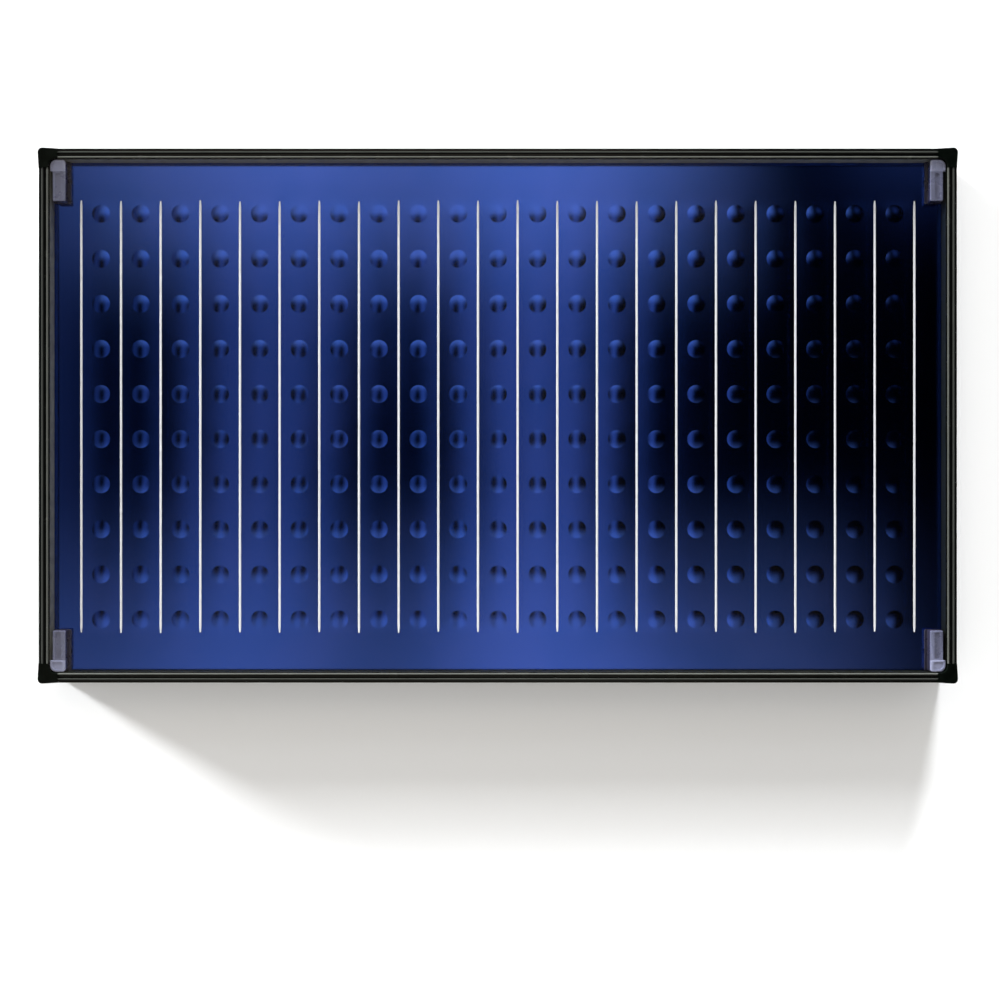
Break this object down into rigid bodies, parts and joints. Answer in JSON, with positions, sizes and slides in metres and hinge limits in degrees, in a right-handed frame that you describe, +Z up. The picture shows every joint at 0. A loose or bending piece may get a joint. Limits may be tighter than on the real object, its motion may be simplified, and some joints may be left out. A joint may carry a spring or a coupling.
{
  "type": "flat-plate solar thermal collector",
  "caption": "Glazed flat-plate solar water heating collector for horizontal mounting, black channel case, blue absorber over a copper harp, with side sockets and clamp grooves.",
  "frame": {"origin": "middle of the underside, on the plane that the case's rim rests on", "axes": "+Z up through the glass, +X along the long side, +Y along the short side"},
  "size_m": [2.017, 1.175, 0.087],
  "materials": {
    "case_black": "black glass-fibre reinforced plastic, satin",
    "corner_black": "black moulded plastic, satin",
    "seal_rubber": "black EPDM",
    "grommet_rubber": "black EPDM",
    "back_steel": "aluminium-zinc coated sheet steel, spangled",
    "mineral_wool": "fibrous, matt",
    "glass": "low-iron tempered glass, clear",
    "absorber_blue": "dark blue selective coating, satin sheen",
    "weld_bright": "bright weld trace",
    "copper": "drawn copper tube",
    "brass": "turned brass",
    "insert_grey": "light grey moulded plastic, glossy"
  },
  "bodies": {
    "root": {"frame_channel_front": "case_black", "glazing_strip_front": "seal_rubber", "frame_channel_rear": "case_black", "glazing_strip_rear": "seal_rubber", "frame_channel_left": "case_black", "glazing_strip_left": "seal_rubber", "frame_channel_right": "case_black", "glazing_strip_right": "seal_rubber", "corner_piece_front_left": "corner_black", "corner_insert_front_left": "insert_grey", "header_socket_front_left": "brass", "header_grommet_front_left": "grommet_rubber", "corner_piece_front_right": "corner_black", "corner_insert_front_right": "insert_grey", "header_socket_front_right": "brass", "header_grommet_front_right": "grommet_rubber", "corner_piece_rear_right": "corner_black", "corner_insert_rear_right": "insert_grey", "header_socket_rear_right": "brass", "header_grommet_rear_right": "grommet_rubber", "corner_piece_rear_left": "corner_black", "corner_insert_rear_left": "insert_grey", "header_socket_rear_left": "brass", "header_grommet_rear_left": "grommet_rubber", "back_panel": "back_steel", "wool_slab": "mineral_wool", "glass_pane": "glass", "absorber_sheet": "absorber_blue", "weld_seams": "weld_bright", "riser_tube_01": "copper", "riser_tube_02": "copper", "riser_tube_03": "copper", "riser_tube_04": "copper", "riser_tube_05": "copper", "riser_tube_06": "copper", "riser_tube_07": "copper", "riser_tube_08": "copper", "riser_tube_09": "copper", "riser_tube_10": "copper", "riser_tube_11": "copper", "riser_tube_12": "copper", "riser_tube_13": "copper", "riser_tube_14": "copper", "riser_tube_15": "copper", "riser_tube_16": "copper", "riser_tube_17": "copper", "riser_tube_18": "copper", "riser_tube_19": "copper", "riser_tube_20": "copper", "riser_tube_21": "copper", "riser_tube_22": "copper", "header_tube_front": "copper", "header_tube_rear": "copper", "sensor_pocket": "copper", "sensor_grommet": "grommet_rubber"}
  },
  "joints": []
}
